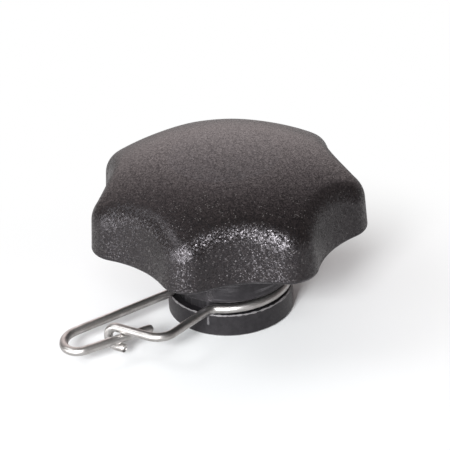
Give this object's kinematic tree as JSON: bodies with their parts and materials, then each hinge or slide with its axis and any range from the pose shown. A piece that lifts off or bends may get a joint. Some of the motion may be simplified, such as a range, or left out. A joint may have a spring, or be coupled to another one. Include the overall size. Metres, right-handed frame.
{
  "type": "star knob",
  "caption": "Lobed star knob with a domed hollow grip, a grooved hub over a blind threaded insert, and a bent wire safety clip that turns in the groove.",
  "frame": {"origin": "on the thread's axis in the plane of the hub's seating face", "axes": "+Z along the axis from the seat up to the crown, -X along the clip's tail at rest, -Y through the tip of one lobe"},
  "size_m": [0.0756, 0.0604, 0.0394],
  "materials": {
    "grip_plastic": "matt, fine eroded texture",
    "insert_brass": "machined",
    "spring_wire": "drawn wire, satin"
  },
  "bodies": {
    "knob": {"knob_body": "grip_plastic", "threaded_insert": "insert_brass"},
    "clip": {"wire_clip": "spring_wire"}
  },
  "joints": [
    {"name": "clip_swivel", "type": "hinge", "parent": "knob", "child": "clip", "pos_m": [0, 0, 0.0072], "axis": [0, 0, 1], "continuous": true}
  ]
}
